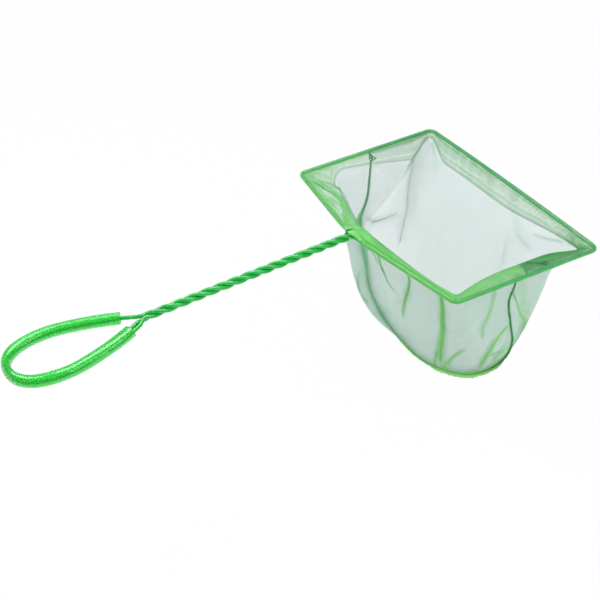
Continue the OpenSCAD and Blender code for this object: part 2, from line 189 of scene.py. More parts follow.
cornerA = (-mouth["halfX"], mouth["halfY"])
cornerB = (mouth["halfX"], mouth["halfY"])
cornerC = (mouth["halfX"], -mouth["halfY"])
cornerD = (-mouth["halfX"], -mouth["halfY"])
mouthCorners = (cornerA, cornerB, cornerC, cornerD)
middleA, middleD = (0.0, mouth["halfY"]), (0.0, -mouth["halfY"])
farPoint = (mouth["halfX"] + mouth["farBow"], 0.0)
farRadius = 0.9 * mouth["halfY"] / math.tan(math.atan(mouth["farBow"] / mouth["halfY"]))
bend = mouth["cornerRadius"]


def lift(p):
    # opposite corners of the mouth stand up and hang down
    return mouth["twist"] * p[..., 0] * p[..., 1] / (mouth["halfX"] * mouth["halfY"])


def raised(path):
    path = np.asarray(path, float)
    return np.c_[path[:, :2], lift(path)]


casing = dict(
    leans=(15, 46, 50, -4), widths=(9.6, 12.5, 15.5, 9.5),   # handle side, far, left, right
    bulk=(0.02, 0.07, 0.03, 0.38), wrapBulk=(0.3, 0.02, 0.02, 0.0),
    # how narrow it is at each corner and over what length: handle or far side, left or right side
    cornerShares=dict(A=(1.85, 0.235), B=(0.3, 0.25), C=(0.45, 0.8), D=(0.55, 0.8)),
    cornerReach=dict(A=(80, 110), B=(22, 16), C=(72, 30), D=(60, 40)),
    cornerFill=(10.5, 30), leftCornerLean=-13.5, sidePower=6, leftNarrower=2.4, neckFade=8)


def awayFrom(spot, p):
    return np.hypot(p[..., 0] - spot[0], p[..., 1] - spot[1])


def bySide(values, p):
    x, y = p[..., 0] / mouth["halfX"], p[..., 1] / mouth["halfY"]
    parts = np.maximum(0, np.stack([-x, x, y, -y])) ** casing["sidePower"]
    return np.tensordot(np.array(values, float), parts, 1) / parts.sum(0)


def beyondNeck(p, side=1):
    return smooth(side * (p[..., 1] - neck[1]) / casing["neckFade"])


def lean(p):
    x, y = p[..., 0] / mouth["halfX"], p[..., 1] / mouth["halfY"]
    more = casing["leftCornerLean"] * y * np.maximum(0, -x) ** casing["sidePower"]
    return np.radians(bySide(casing["leans"], p) + more)


def casingWidth(p):
    width = bySide(casing["widths"], p)
    width = width - bySide((casing["leftNarrower"], 0, 0, 0), p) * beyondNeck(p)
    for name, corner in zip("ABCD", mouthCorners):
        (long, wide), (share, other) = casing["cornerReach"][name], casing["cornerShares"][name]
        near = smooth(1 - awayFrom(corner, p) / bySide((long, long, wide, wide), p))
        width = width * (1 - (1 - bySide((share, share, other, other), p)) * near)
    # at corner A the cloth also fills the angle between the two sides
    fill, reach = casing["cornerFill"]
    return width + fill * smooth(1 - awayFrom(cornerA, p) / reach) * bySide((0, 0, 1, 0), p)


def inFromWire(p, by):
    # the point that lies this far in from the wire, along the leaning casing
    across = by * np.cos(lean(p))
    return np.stack([
        p[..., 0] * (mouth["halfX"] - across) / mouth["halfX"],
        p[..., 1] * (mouth["halfY"] - across) / mouth["halfY"],
        lift(p) - by * np.sin(lean(p))], -1)


def casingEdge(p, more=0.0):
    return inFromWire(p, casingWidth(p) + more)


seamKnots = [
    (71, 0), (71, -14), (72, -32), (76, -46), (79, -58), (75, -72), (69, -84), (63, -100),
    (50, -111), (30, -118), (9, -120), (-12, -115), (-38, -101), (-56, -84), (-68, -65),
    (-72, -50), (-68, -38), (-64, -26), (-66, -12), (-66, 0)]
seamLine = paced(spline([(0, y, z) for y, z in seamKnots], 20), 2000)
seamTop = 0.03     # share of the seam at each end that lies along the panels' own sides


def onSeam(share):
    return sampled(np.clip(share, 0, 1) * 2000, np.arange(2001), seamLine)


def select(obj):
    bpy.ops.object.select_all(action="DESELECT")
    obj.select_set(True)
    bpy.context.view_layer.objects.active = obj


def addToScene(mesh, name):
    obj = bpy.data.objects.new(name, mesh)
    scene.collection.objects.link(obj)
    return obj


def sheetMesh(name, grid, cloth, gather, thickness=0.0, closed=False, flip=False, lined=False):
    # a sheet from a grid of points, with its own weave coordinates in mm and its gathers
    rows, cols = grid.shape[:2]
    index = np.arange(rows * cols).reshape(rows, cols)
    if closed:
        index = np.concatenate([index, index[:, :1]], 1)
    quads = np.stack([index[:-1, :-1], index[:-1, 1:], index[1:, 1:], index[1:, :-1]], -1)
    if flip:
        quads = quads[..., ::-1]
    mesh = bpy.data.meshes.new(name)
    mesh.from_pydata(toFrame(grid.reshape(-1, 3)).tolist(), [], quads.reshape(-1, 4).tolist())
    order = np.empty(len(mesh.loops), int)
    mesh.loops.foreach_get("vertex_index", order)
    layer = mesh.uv_layers.new(name="cloth")
    layer.data.foreach_set("uv", cloth.reshape(-1, 2)[order].ravel().astype(float))
    mesh.attributes.new("gather", "FLOAT", "POINT").data.foreach_set(
        "value", np.clip(gather, 0, 1).ravel().astype(float))
    obj = addToScene(mesh, name)
    if lined:
        mesh.materials.append(insideClothPaintedShade)
        mesh.materials.append(outerCloth)
    select(obj)
    bpy.ops.object.shade_smooth()
    if thickness:
        wall = obj.modifiers.new("wall", "SOLIDIFY")
        wall.thickness = thickness / 1000
        wall.offset = 0
        wall.material_offset = 1 if lined else 0
        bpy.ops.object.modifier_apply(modifier=wall.name)
    return obj


def wirePiece(name, paths, radius, sides=6, radii=None):
    # round wire or thread along one or more paths
    curve = bpy.data.curves.new(name, "CURVE")
    curve.dimensions = "3D"
    curve.twist_mode = "MINIMUM"
    curve.bevel_depth = radius / 1000
    curve.bevel_resolution = sides
    curve.use_fill_caps = True
    for number, path in enumerate(paths):
        points = toFrame(path)
        line = curve.splines.new("POLY")
        line.points.add(len(points) - 1)
        line.points.foreach_set("co", np.c_[points, np.ones(len(points))].ravel())
        if radii is not None:
            line.points.foreach_set("radius", np.asarray(radii[number], float))
    select(addToScene(curve, name))
    bpy.ops.object.convert(target="MESH")
    obj = bpy.context.object
    bpy.ops.object.shade_smooth()
    return obj


def linear(hexColor):
    parts = [int(hexColor[i:i + 2], 16) / 255 for i in (1, 3, 5)]
    return [c / 12.92 if c <= 0.04045 else ((c + 0.055) / 1.055) ** 2.4 for c in parts] + [1]


def newMaterial(name):
    material = bpy.data.materials.new(name)
    material.use_nodes = True
    tree = material.node_tree
    tree.nodes.clear()
    return material, tree


def addNode(tree, kind, settings=None, links=None):
    # a node with its settings and its links; a number or a known name sets an input
    node = tree.nodes.new(kind)
    for key, value in (settings or {}).items():
        if isinstance(key, str) and key not in node.inputs:
            setattr(node, key, value)
    for key, value in (settings or {}).items():
        if not isinstance(key, str) or key in node.inputs:
            node.inputs[key].default_value = value
    for key, source in (links or {}).items():
        tree.links.new(source, node.inputs[key])
    return node


def maths(tree, operation, *values):
    # sockets are linked to it, numbers are set on it
    node = addNode(tree, "ShaderNodeMath", {"operation": operation})
    for place, value in zip(node.inputs, values):
        if isinstance(value, bpy.types.NodeSocket):
            tree.links.new(value, place)
        else:
            place.default_value = value
    return node.outputs[0]


def noise(tree, vector, scale, detail, output="Fac"):
    return addNode(tree, "ShaderNodeTexNoise", {"Scale": scale, "Detail": detail},
                   {"Vector": vector}).outputs[output]


def colorMix(tree, factor, first, second):
    return addNode(tree, "ShaderNodeMix",
                   {"data_type": "RGBA", 6: linear(first), 7: linear(second)},
                   {0: factor}).outputs[2]


def bump(tree, height, strength, distance):
    return addNode(tree, "ShaderNodeBump", {"Strength": strength, "Distance": distance},
                   {"Height": height}).outputs[0]


def plastic(tree, settings, links):
    surface = addNode(tree, "ShaderNodeBsdfPrincipled", settings, links)
    addNode(tree, "ShaderNodeOutputMaterial", {}, {"Surface": surface.outputs[0]})


def meshCloth(name, spec):
    # woven nylon netting: thin threads with clear holes between them, so what lies behind shows
    # through, and it turns to its bunched colour wherever it is gathered; that colour is the green
    # of several layers together with the painted light and shade set for each material
    material, tree = newMaterial(name)
    uv = addNode(tree, "ShaderNodeUVMap", {"uv_map": "cloth"}).outputs[0]
    drift = noise(tree, uv, 1 / spec["driftSize"], 1.0, "Color")
    shift = addNode(tree, "ShaderNodeVectorMath", {"operation": "SCALE", "Scale": spec["drift"]},
                    {0: drift})
    moved = addNode(tree, "ShaderNodeVectorMath", {"operation": "ADD"},
                    {0: uv, 1: shift.outputs[0]})
    split = addNode(tree, "ShaderNodeSeparateXYZ", {}, {0: moved.outputs[0]})
    gather = addNode(tree, "ShaderNodeAttribute", {"attribute_name": "gather"})
    half = maths(tree, "MULTIPLY_ADD", gather.outputs["Fac"], spec["gatherGain"],
                 spec["threadShare"] / 2)
    lines = []
    for axis in (0, 1):
        cell = maths(tree, "MULTIPLY", split.outputs[axis], 1 / spec["pitch"])
        gap = maths(tree, "ABSOLUTE", maths(tree, "SUBTRACT", maths(tree, "FRACT", cell), 0.5))
        over = maths(tree, "SUBTRACT", half, gap)
        lines.append(addNode(tree, "ShaderNodeMapRange",
                             {"From Min": -spec["soft"], "From Max": spec["soft"]},
                             {"Value": over}).outputs[0])
    woven = maths(tree, "MAXIMUM", *lines)
    tone = noise(tree, uv, 1 / spec["toneSize"], 2.0)
    shade = colorMix(tree, tone, spec["dark"], spec["light"])
    dense = addNode(tree, "ShaderNodeMath",
                    {"operation": "MULTIPLY", "use_clamp": True, 1: spec["greening"]},
                    {0: gather.outputs["Fac"]})
    color = addNode(tree, "ShaderNodeMix",
                    {"data_type": "RGBA", 7: linear(spec["bunched"])},
                    {0: dense.outputs[0], 6: shade})
    relief = bump(tree, woven, 0.35, 0.0001)
    plastic(tree, {"Roughness": spec["roughness"], "IOR": 1.53},
            {"Base Color": color.outputs[2], "Alpha": woven, "Normal": relief})
    return material


# The real mesh is taken to have about 40 threads to the inch. It is drawn with a pitch of 0.7 mm,
# because a finer one doesn't show. The insides are greyer, bluer copies of the same netting:
# painted shade for the inside of the bag. The bunched green is partly the real colour of doubled
# cloth and partly painted light, kept lighter than the threads so that folds in their own shade
# read bright.
netting = dict(
    pitch=0.7, threadShare=0.125, soft=0.05, gatherGain=0.3, drift=0.3, driftSize=9.0,
    toneSize=14.0, roughness=0.5, greening=1.8, dark="#82C08E", light="#96D09E",
    bunched="#80E068")
outerCloth = meshCloth("wovenNylonOutside", netting)
insideClothPaintedShade = meshCloth("wovenNylonInsidePaintedShade", dict(netting, dark="#88B8C0", light="#98C8D0",
                                                bunched="#74C472"))
farInsideClothPaintedShade = meshCloth("wovenNylonFarInsidePaintedShade", dict(netting, dark="#8AB8C0", light="#9AC8D0",
                                                 bunched="#86B496"))
hemCloth = dict(netting, threadShare=0.08, gatherGain=0.33, greening=4.0)
# each casing is its own copy of the netting: the two on the handle side are lighter, painted light
# for cloth that faces away from the lamps, and the far one is bluer with a darker bunched green,
# painted shade
casingCloths = dict(
    hemLeft=meshCloth("wovenNylonCasingLeftPaintedLight", dict(
        hemCloth, dark="#88CC9C", light="#9ADAAE", bunched="#7EDA7C")),
    hemRight=meshCloth("wovenNylonCasingRightPaintedLight", dict(
        hemCloth, dark="#7CC87C", light="#90D88E", bunched="#76DC6E")),
    hemBack=meshCloth("wovenNylonCasingBackPaintedShade", dict(
        hemCloth, dark="#80BC9C", light="#90CCAC", bunched="#4CB254")))
# the seam edging is drawn a paler, yellower green than the netting: painted light, as it lies in
# shade behind the front panel
seamCloth = meshCloth("wovenNylonSeamPaintedLight", dict(
    netting, threadShare=0.6, greening=1.2, dark="#A4FF84", light="#B8FF98", bunched="#2C8C48"))


def coatedWireMaterial():
    # steel wire dipped in PVC: a smooth, slightly uneven glossy skin with soft highlights
    spec = dict(deep="#009A34", fresh="#14CC4C", unevenSize=0.9, roughness=0.2, bump=0.1)
    material, tree = newMaterial("dippedPvcWire")
    place = addNode(tree, "ShaderNodeTexCoord").outputs["Object"]
    patches = noise(tree, place, 160.0, 3.0)
    color = colorMix(tree, patches, spec["deep"], spec["fresh"])
    skin = noise(tree, place, 1000 / spec["unevenSize"], 2.0)
    relief = bump(tree, skin, spec["bump"], 0.0001)
    wear = addNode(tree, "ShaderNodeMapRange",
                   {"From Min": 0.3, "From Max": 0.7, "To Min": spec["roughness"] - 0.06,
                    "To Max": spec["roughness"] + 0.1}, {"Value": patches})
    plastic(tree, {"IOR": 1.52, "Coat Weight": 0.5, "Coat Roughness": 0.12},
            {"Base Color": color, "Roughness": wear.outputs[0], "Normal": relief})
    return material


def sleeveMaterial():
    # soft extruded PVC tube: clear green, wet-looking, with the wire dark inside it
    spec = dict(thick="#64F07A", thin="#74F688", roughness=0.16)
    material, tree = newMaterial("extrudedSoftPvc")
    place = addNode(tree, "ShaderNodeTexCoord").outputs["Object"]
    clouds = noise(tree, place, 90.0, 3.0)
    color = colorMix(tree, clouds, spec["thick"], spec["thin"])
    dents = noise(tree, place, 420.0, 1.0)
    relief = bump(tree, dents, 0.008, 0.0004)
    plastic(tree, {"Roughness": spec["roughness"], "IOR": 1.53, "Transmission Weight": 0.84},
            {"Base Color": color, "Normal": relief})
    return material


def threadMaterial(name, dark, light):
    # twisted polyester sewing thread: matte, with the slant of its plies
    material, tree = newMaterial(name)
    place = addNode(tree, "ShaderNodeTexCoord").outputs["Object"]
    plies = addNode(tree, "ShaderNodeTexWave",
                    {"wave_type": "BANDS", "bands_direction": "DIAGONAL", "Scale": 900.0,
                     "Distortion": 1.5}, {"Vector": place})
    color = colorMix(tree, plies.outputs["Fac"], dark, light)
    relief = bump(tree, plies.outputs["Fac"], 0.5, 0.0001)
    plastic(tree, {"Roughness": 0.7, "IOR": 1.5, "Sheen Weight": 0.2},
            {"Base Color": color, "Normal": relief})
    return material


wireSkin = coatedWireMaterial()
sleeveSkin = sleeveMaterial()
darkThread = threadMaterial("polyesterThreadDark", "#1F6B3C", "#3F9659")
paleThread = threadMaterial("polyesterThreadPale", "#6AAE7A", "#98CCA2")
print("materials made")


def finishPiece(obj, material, slotName, *nodes):
    # a pair of materials is the inside and the outside of a lined sheet
    indices = [face.material_index for face in obj.data.polygons]
    obj.data.materials.clear()
    for each in material if isinstance(material, tuple) else (material,):
        obj.data.materials.append(each)
    if isinstance(material, tuple):
        obj.data.polygons.foreach_set("material_index", indices)
    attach(obj, "root")
    if nodes:
        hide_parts(*nodes)
    return obj


wires = dict(turnSteps=28, layIn=4.0, layShort=2.0, legBare=9.0, seat=0.2, leadSteps=14, sink=0.8,
             strandTurns=dict(left=30, right=150, under=270), hook=(1.5, 0.7))
layRadius = (handle["wireWidth"] + handle["strandGap"]) / math.sqrt(3)
layOut = handle["twistLength"] - wires["layShort"]


def lay(s, turn):
    s = np.asarray(s, float)
    a = np.radians(turn - 360 * handle["turns"] * (s - layOut) / handle["twistLength"])
    return np.stack([s, layRadius * np.cos(a), layRadius * np.sin(a)], -1)


def layHeading(s, turn):
    return unit(lay(s + 0.1, turn) - lay(s - 0.1, turn))


loopShares = [(0, 0.06), (0.19, 0.56), (0.52, 1), (0.66, 1), (0.85, 1), (1, 0.73), (1, 0)]
loopKnots = [(handle["twistLength"] + handle["loopLength"] * a, handle["loopWidth"] / 2 * b, 0)
             for a, b in loopShares]
halfLoop = np.vstack([bezier(*loopKnots[:4], 40)[:-1], bezier(*loopKnots[3:], 40)])
loopLine = np.vstack([halfLoop, halfLoop[-2::-1] * [1, -1, 1]])
loopLength = arcLength(loopLine)[-1]
sleeveShare = handle["bareLead"] / loopLength
leadShare = sleeveShare / 2
tailShare = 1 - sleeveShare - handle["tailLength"] / loopLength
sideStep = (handle["wireWidth"] + handle["strandGap"]) / 2 + handle["strandGap"]


def beside(path, by):
    across = unit(np.cross(headings(path), [0, 0, 1]))
    return path + np.asarray(by)[..., None] * across


loopPoints = paced(loopLine, 160, leadShare, 1 - leadShare)
loopAt = np.linspace(leadShare, 1 - leadShare, 161)
loopPath = beside(loopPoints, sideStep * smooth((loopAt - tailShare) / 0.08 + 1))
loopPath[:, 2] -= wires["sink"] * smooth(np.minimum(loopAt, 1 - loopAt) / 0.09 - 0.6)
tailPath = beside(paced(loopLine, 30, 1 - leadShare, tailShare), np.full(31, sideStep))


def bridged(a, aAhead, b, bAhead, count):
    reach = 0.4 * np.linalg.norm(np.asarray(b) - a)
    return bezier(a, a + reach * aAhead, b - reach * bAhead, b, count)


def helix(turn):
    count = round(wires["turnSteps"] * handle["turns"])
    return lay(np.linspace(wires["layIn"], layOut, count + 1), turn)


def fromLeg(side, corner):
    turn = wires["strandTurns"][side]
    ahead2 = unit(np.array(corner) - neck)
    leg = neck + wires["legBare"] * ahead2
    start = onHandle(lay(wires["layIn"], turn))[0]
    back = (onHandle([0, 0, 0]) - onHandle(layHeading(wires["layIn"], turn)))[0]
    ahead = np.array([ahead2[0], ahead2[1], 0])
    return bridged(start, unit(back), raised([leg])[0] - wires["seat"] * ahead, ahead,
                   wires["leadSteps"])[:0:-1]


def intoLoop(turn, end, ahead):
    return bridged(lay(layOut, turn), layHeading(layOut, turn), end, ahead, wires["leadSteps"])


def strand(side, start, end, ahead):
    turn = wires["strandTurns"][side]
    return np.vstack([start, onHandle(helix(turn)), onHandle(intoLoop(turn, end, ahead))[1:]])


ahead = headings(loopPath)
leftStrand = strand("left", fromLeg("left", cornerA), loopPath[0] - wires["seat"] * ahead[0],
                    ahead[0])
rightStrand = np.vstack([
    strand("right", fromLeg("right", cornerD), tailPath[0], headings(tailPath)[0]),
    onHandle(tailPath)[1:]])
underStart = lay(wires["layIn"] - np.array(wires["hook"]), wires["strandTurns"]["under"])
underStrand = strand("under", onHandle(underStart), loopPath[-1] + wires["seat"] * ahead[-1],
                     -ahead[-1])
for pieceName, node, path in (
        ("strandLeft", "strand_left", leftStrand), ("strandRight", "strand_right", rightStrand),
        ("strandUnder", "strand_under", underStrand),
        ("loopWire", "loop_wire", onHandle(loopPath))):
    finishPiece(wirePiece(pieceName, [path], wireRadius), wireSkin, "coated_wire", node)

rimCorners = [neck + wires["legBare"] * unit(np.array(cornerA) - neck), cornerA, cornerB,
              farPoint, cornerC, cornerD, neck + wires["legBare"] * unit(np.array(cornerD) - neck)]
rimLine = bent(rimCorners, [0, bend, bend, farRadius, bend, bend, 0], 12)
finishPiece(wirePiece("rimWire", [raised(rimLine)], wireRadius), wireSkin, "coated_wire",
            "rim_wire")
print("wire bent")

sleeve = dict(width=6.5, wall=0.8, pinch=4.5, pairWidth=7.2, pinchShare=0.14, pairFrom=0.8,
              steps=260, sides=40, crinkle=0.22, crinklePitch=2.3)


def sleeveGrid(inset):
    line = paced(loopLine, sleeve["steps"], sleeveShare, 1 - sleeveShare)
    at = np.linspace(0, 1, sleeve["steps"] + 1)
    tip = 1 - smooth(np.abs(at - 0.5) / sleeve["pinchShare"])
    pair = smooth((at - sleeve["pairFrom"]) / sleeve["pinchShare"])
    wide = (sleeve["width"] * (1 - tip) + sleeve["pinch"] * tip
            + (sleeve["pairWidth"] - sleeve["width"]) * pair)
    high = sleeve["width"] + (sleeve["width"] - wide) / 2
    along = headings(line)
    across = unit(np.cross(along, [0, 0, 1]))
    up = np.cross(across, along)
    a = np.linspace(0, 2 * math.pi, sleeve["sides"], endpoint=False)
    run = at * arcLength(line)[-1]
    # the inside of the bend is pushed into small folds at the tip
    crease = (sleeve["crinkle"] * tip[:, None] * np.maximum(0, -np.cos(a)) ** 2
              * np.sin(2 * math.pi * run / sleeve["crinklePitch"])[:, None])
    wave = 0.06 * wobble(run[:, None], a[None] * 3, 3, 14)
    r = 1 + (crease + wave) / 3
    ring = (line[:, None] + (wide[:, None] / 2 * r - inset)[..., None] * np.cos(a)[None, :, None]
            * across[:, None] + (high[:, None] / 2 * r - inset)[..., None]
            * np.sin(a)[None, :, None] * up[:, None])
    return onHandle(ring.reshape(-1, 3)).reshape(ring.shape)


outer, inner = sleeveGrid(0), sleeveGrid(sleeve["wall"])
tube = np.concatenate([outer, inner[::-1], outer[:1]], 0)
sleeveUv = np.zeros(tube.shape[:2] + (2,))
sleevePiece = sheetMesh("gripSleeve", tube, sleeveUv, np.zeros(tube.shape[:2]), closed=True)
select(sleevePiece)
bpy.ops.object.mode_set(mode="EDIT")
bpy.ops.mesh.select_all(action="SELECT")
bpy.ops.mesh.remove_doubles(threshold=1e-6)
bpy.ops.mesh.normals_make_consistent(inside=False)
bpy.ops.object.mode_set(mode="OBJECT")
bpy.ops.object.shade_smooth_by_angle(angle=math.radians(50))
finishPiece(sleevePiece, sleeveSkin, "soft_sleeve", "grip_sleeve")
print("sleeve made")

frontLine = bent([middleA, cornerA, neck, cornerD, middleD],
                 [0, bend, mouth["neckRound"], bend, 0])
backLine = bent([middleA, cornerB, farPoint, cornerC, middleD], [0, bend, farRadius, bend, 0])
bag = dict(
    cols=430, rows=104, wall=0.1, tuck=0.9, lag=0.03, sag=0.25, slack=0.55, rippleSizes=(26, 9),
    meanDepth=110, seamReach=2.6,
    seamDense={0: .3, .16: .4, .21: 1.0, .45: .9, .55: .5, .6: .9, .74: .8, .8: .5, 1: .4},
    # how far each panel stands out in mm: a row for each depth, from the left side to the right one
    depths=(0, 0.15, 0.35, 0.55, 0.75, 0.88, 1),
    frontRelief=((-1, -1, -2, -2.5, -1, 0.5, 2.5, 2, 0.5),
                 (-0.5, -0.5, -2, -2, 0.5, 3.5, 6, 4.5, 2),
                 (0, 3.5, 3.3, 2.5, 3.5, 6.5, 9, 7.5, 3),
                 (0.5, 7.6, 8.9, 6.2, 4, 7, 8.5, 7.5, 3),
                 (0.5, 6.5, 7.2, 8, 1.8, 3.5, 5, 4.5, 2)),
    backRelief=((1.4, 1.4, 1.4, 1.05, 0.35, -1.4, -6.8, -10.0, -5.2),
                (2.8, 2.8, 4.2, 3.85, 2.45, 0, -5.6, -6.7, -3.9),
                (4.2, 4.2, 7, 7, 4.9, 2.45, -2.0, -2.8, -1.0),
                (4.2, 4.2, 7, 7, 5.6, 3.5, 0.7, 0, 1.05),
                (2.45, 2.8, 4.2, 4.2, 3.5, 2.45, 1.05, 1.05, 1.05)))
# Each fold: its line across the panel (u from the left seam to the right one, v from the casing
# down to the seam), half its width in mm, how far it laps over, its rise and how dense it looks
frontFolds = [
    ([(.497, .03), (.491, .154), (.488, .26), (.5, .346), (.519, .365)], .85, 2.0, .5, .95),
    ([(.62, .03), (.619, .125), (.605, .221), (.572, .356), (.544, .5)], 1.3, 2.2, .6, .8),
    ([(.752, .02), (.742, .144), (.733, .25), (.719, .356), (.712, .452), (.695, .548),
      (.667, .673), (.645, .76)], 1.8, 3.0, .8, 1.0),
    ([(.70, .46), (.67, .577), (.633, .721), (.558, .981)], 1.1, 2.4, .6, .8),
    ([(.685, .58), (.64, .76), (.59, .97)], 2.6, .8, .5, .5),
    ([(.60, .93), (.616, .904), (.65, .81), (.693, .731), (.719, .692), (.744, .673)],
     .8, 1.8, .4, .6),
    ([(.905, .28), (.891, .442), (.858, .51), (.833, .529), (.819, .615)], 1.0, 1.8, .5, .55),
    ([(.874, .933), (.84, .817), (.788, .837), (.721, .933)], 1.0, 2.2, .5, .85),
    ([(.786, .827), (.795, .865), (.812, .92), (.837, .99)], .8, 1.6, .4, .6),
    ([(.767, .942), (.807, .923), (.828, .942)], .7, 1.4, .4, .5),
    ([(.442, .03), (.45, .12), (.465, .24), (.485, .27)], 1.7, .8, .5, .45),
    ([(.285, .97), (.295, .952), (.314, .904), (.337, .885), (.365, .846), (.393, .788)],
     1.3, 1.0, .05, .5)]
backFolds = [
    ([(.96, .90), (.949, .856), (.923, .817), (.886, .81), (.865, .80), (.784, .702)],
     1.0, 1.4, .1, .9),
    ([(.784, .702), (.80, .79), (.80, .88), (.835, .985)], 1.8, 1.0, .05, .7),
    ([(.93, .45), (.90, .62), (.86, .76), (.82, .88)], 5, 0, 0, .25),
    ([(.191, .01), (.188, .077), (.202, .298), (.221, .413), (.253, .51), (.274, .606),
      (.293, .673)], 2.3, 1.4, .9, .4),
    ([(.172, .0), (.155, .04), (.156, .14)], 1.0, 1.6, .5, .4),
    ([(.212, .01), (.219, .038), (.253, .106), (.284, .173)], 1.0, 1.2, .4, .25),
    ([(.175, .98), (.207, .875), (.226, .769), (.24, .654)], 1.5, 1.5, .6, .35),
    ([(.58, .02), (.591, .038), (.621, .096), (.681, .125)], 1.6, 1.3, .5, .22),
    ([(.66, .05), (.70, .038), (.735, .02), (.77, .01)], .5, .6, .15, .5),
    ([(.585, .13), (.602, .24), (.61, .32)], 1.5, 1.3, .5, .2)]


def foldField(acrossMm, downMm, path):
    # signed distance to a line on the cloth, how far along it the nearest point lies, and the
    # direction across the line
    run, best = arcLength(path), None
    for i, (a, b) in enumerate(zip(path, path[1:])):
        leg = b - a
        t = np.clip(((acrossMm - a[0]) * leg[0] + (downMm - a[1]) * leg[1]) / (leg @ leg), 0, 1)
        dx, dy = acrossMm - a[0] - t * leg[0], downMm - a[1] - t * leg[1]
        gap = np.hypot(dx, dy)
        normal = np.array([-leg[1], leg[0]]) / np.hypot(*leg)
        normal = normal if normal[0] >= 0 else -normal
        found = np.stack([
            gap, gap * np.sign(dx * normal[0] + dy * normal[1]),
            (run[i] + t * (run[i + 1] - run[i])) / run[-1],
            np.full(gap.shape, normal[0]), np.full(gap.shape, normal[1])])
        best = found if best is None else np.where(gap < best[0], found, best)
    return best[1:]


def spread(grid, axis):
    # how far each point lies along its column (0) or row (1) of the cloth, in mm
    steps = np.linalg.norm(np.diff(grid, axis=axis), axis=2)
    return np.insert(np.cumsum(steps, axis), 0, 0, axis)


def fromMiddle(grid):
    run = spread(grid, 1)
    return run - run[:, bag["cols"] // 2:bag["cols"] // 2 + 1]


def panelGrid(line, side, relief, folds, seed):
    u = np.linspace(0, 1, bag["cols"] + 1)
    v = np.linspace(0, 1, bag["rows"] + 1)
    edge = paced(line, bag["cols"])
    top, tucked = casingEdge(edge), casingEdge(edge, -bag["tuck"])
    share = seamTop + (1 - 2 * seamTop) * (u - bag["lag"] * np.sin(2 * math.pi * u))
    bottom = onSeam(share)
    down = v[:, None, None]
    grid = top[None] * (1 - down) + bottom[None] * down
    table = np.pad(np.array(relief, float), 1)
    out = through(bag["depths"], through(np.linspace(0, 1, table.shape[1]), table.T, u).T, v)
    grid = grid + out[..., None] * np.array([side, 0, -bag["sag"]])
    # the top row lies inside the casing
    grid[0] = tucked
    grid[1] = top
    acrossMm, downMm = fromMiddle(grid), spread(grid, 0)
    tu, tv = unit(np.gradient(grid, axis=1)), unit(np.gradient(grid, axis=0))
    normal = unit(np.cross(tu, tv))
    normal = normal * np.where(normal[..., :1].mean() * side < 0, -1, 1)
    gather = np.zeros(acrossMm.shape)
    move = np.zeros(grid.shape)
    for knots, half, lap, rise, dense in folds:
        path = np.array([
            (np.interp(fu, u, acrossMm[int(round(fv * bag["rows"]))]),
             np.interp(fv, v, downMm[:, int(round(fu * bag["cols"]))]))
            for fu, fv in knots])
        path = spline(path, 6)
        s, along, sideX, sideY = foldField(acrossMm, downMm, path)
        taper = np.sin(math.pi * np.clip(0.12 + 0.76 * along, 0, 1)) ** 0.7
        close = np.exp(-(s / half) ** 2 / 2)
        wide = np.exp(-(s / (2.2 * half)) ** 2 / 2)
        across = sideX[..., None] * tu + sideY[..., None] * tv
        move -= (lap * taper * s * close)[..., None] * across
        move += (rise * taper * (s / half * wide + 0.8 * wide))[..., None] * normal
        gather = np.maximum(gather, dense * taper * np.exp(-(s / (1.25 * half)) ** 2 / 2))
    # slack: long shallow ripples that die out at the casing and the seam
    slack = np.sin(math.pi * v)[:, None] * np.sin(math.pi * u)[None] ** 0.5
    long, short = bag["rippleSizes"]
    ripple = (wobble(acrossMm, downMm * 0.3, seed, long)
              + 0.35 * wobble(acrossMm, downMm * 0.4, seed + 1, short))
    move += (bag["slack"] * slack * ripple)[..., None] * normal
    hold = smooth((v - 0.01) / 0.06)[:, None, None] * smooth((1.0 - v) / 0.03)[:, None, None]
    grid = grid + move * hold
    seamGather = (np.exp(-(1 - v) * bag["meanDepth"] / bag["seamReach"])[:, None]
                  * (1 + 0.4 * wobble(acrossMm, 0, 5, 7))
                  * keyed(bag["seamDense"], u))
    gather = np.maximum(gather, seamGather)
    # the weave follows the cloth, not the grid
    return grid, np.stack([fromMiddle(grid), downMm], -1), gather


frontGrid = panelGrid(frontLine, -1, bag["frontRelief"], frontFolds, 11)
backGrid = panelGrid(backLine, 1, bag["backRelief"], backFolds, 23)
frontPanel = finishPiece(
    sheetMesh("frontPanel", *frontGrid, thickness=bag["wall"], lined=True),
    (insideClothPaintedShade, outerCloth), "bag_mesh", "front_panel")
backPanel = finishPiece(
    sheetMesh("backPanel", *backGrid, thickness=bag["wall"], flip=True, lined=True),
    (farInsideClothPaintedShade, outerCloth), "bag_mesh", "back_panel")
print("panels hung")

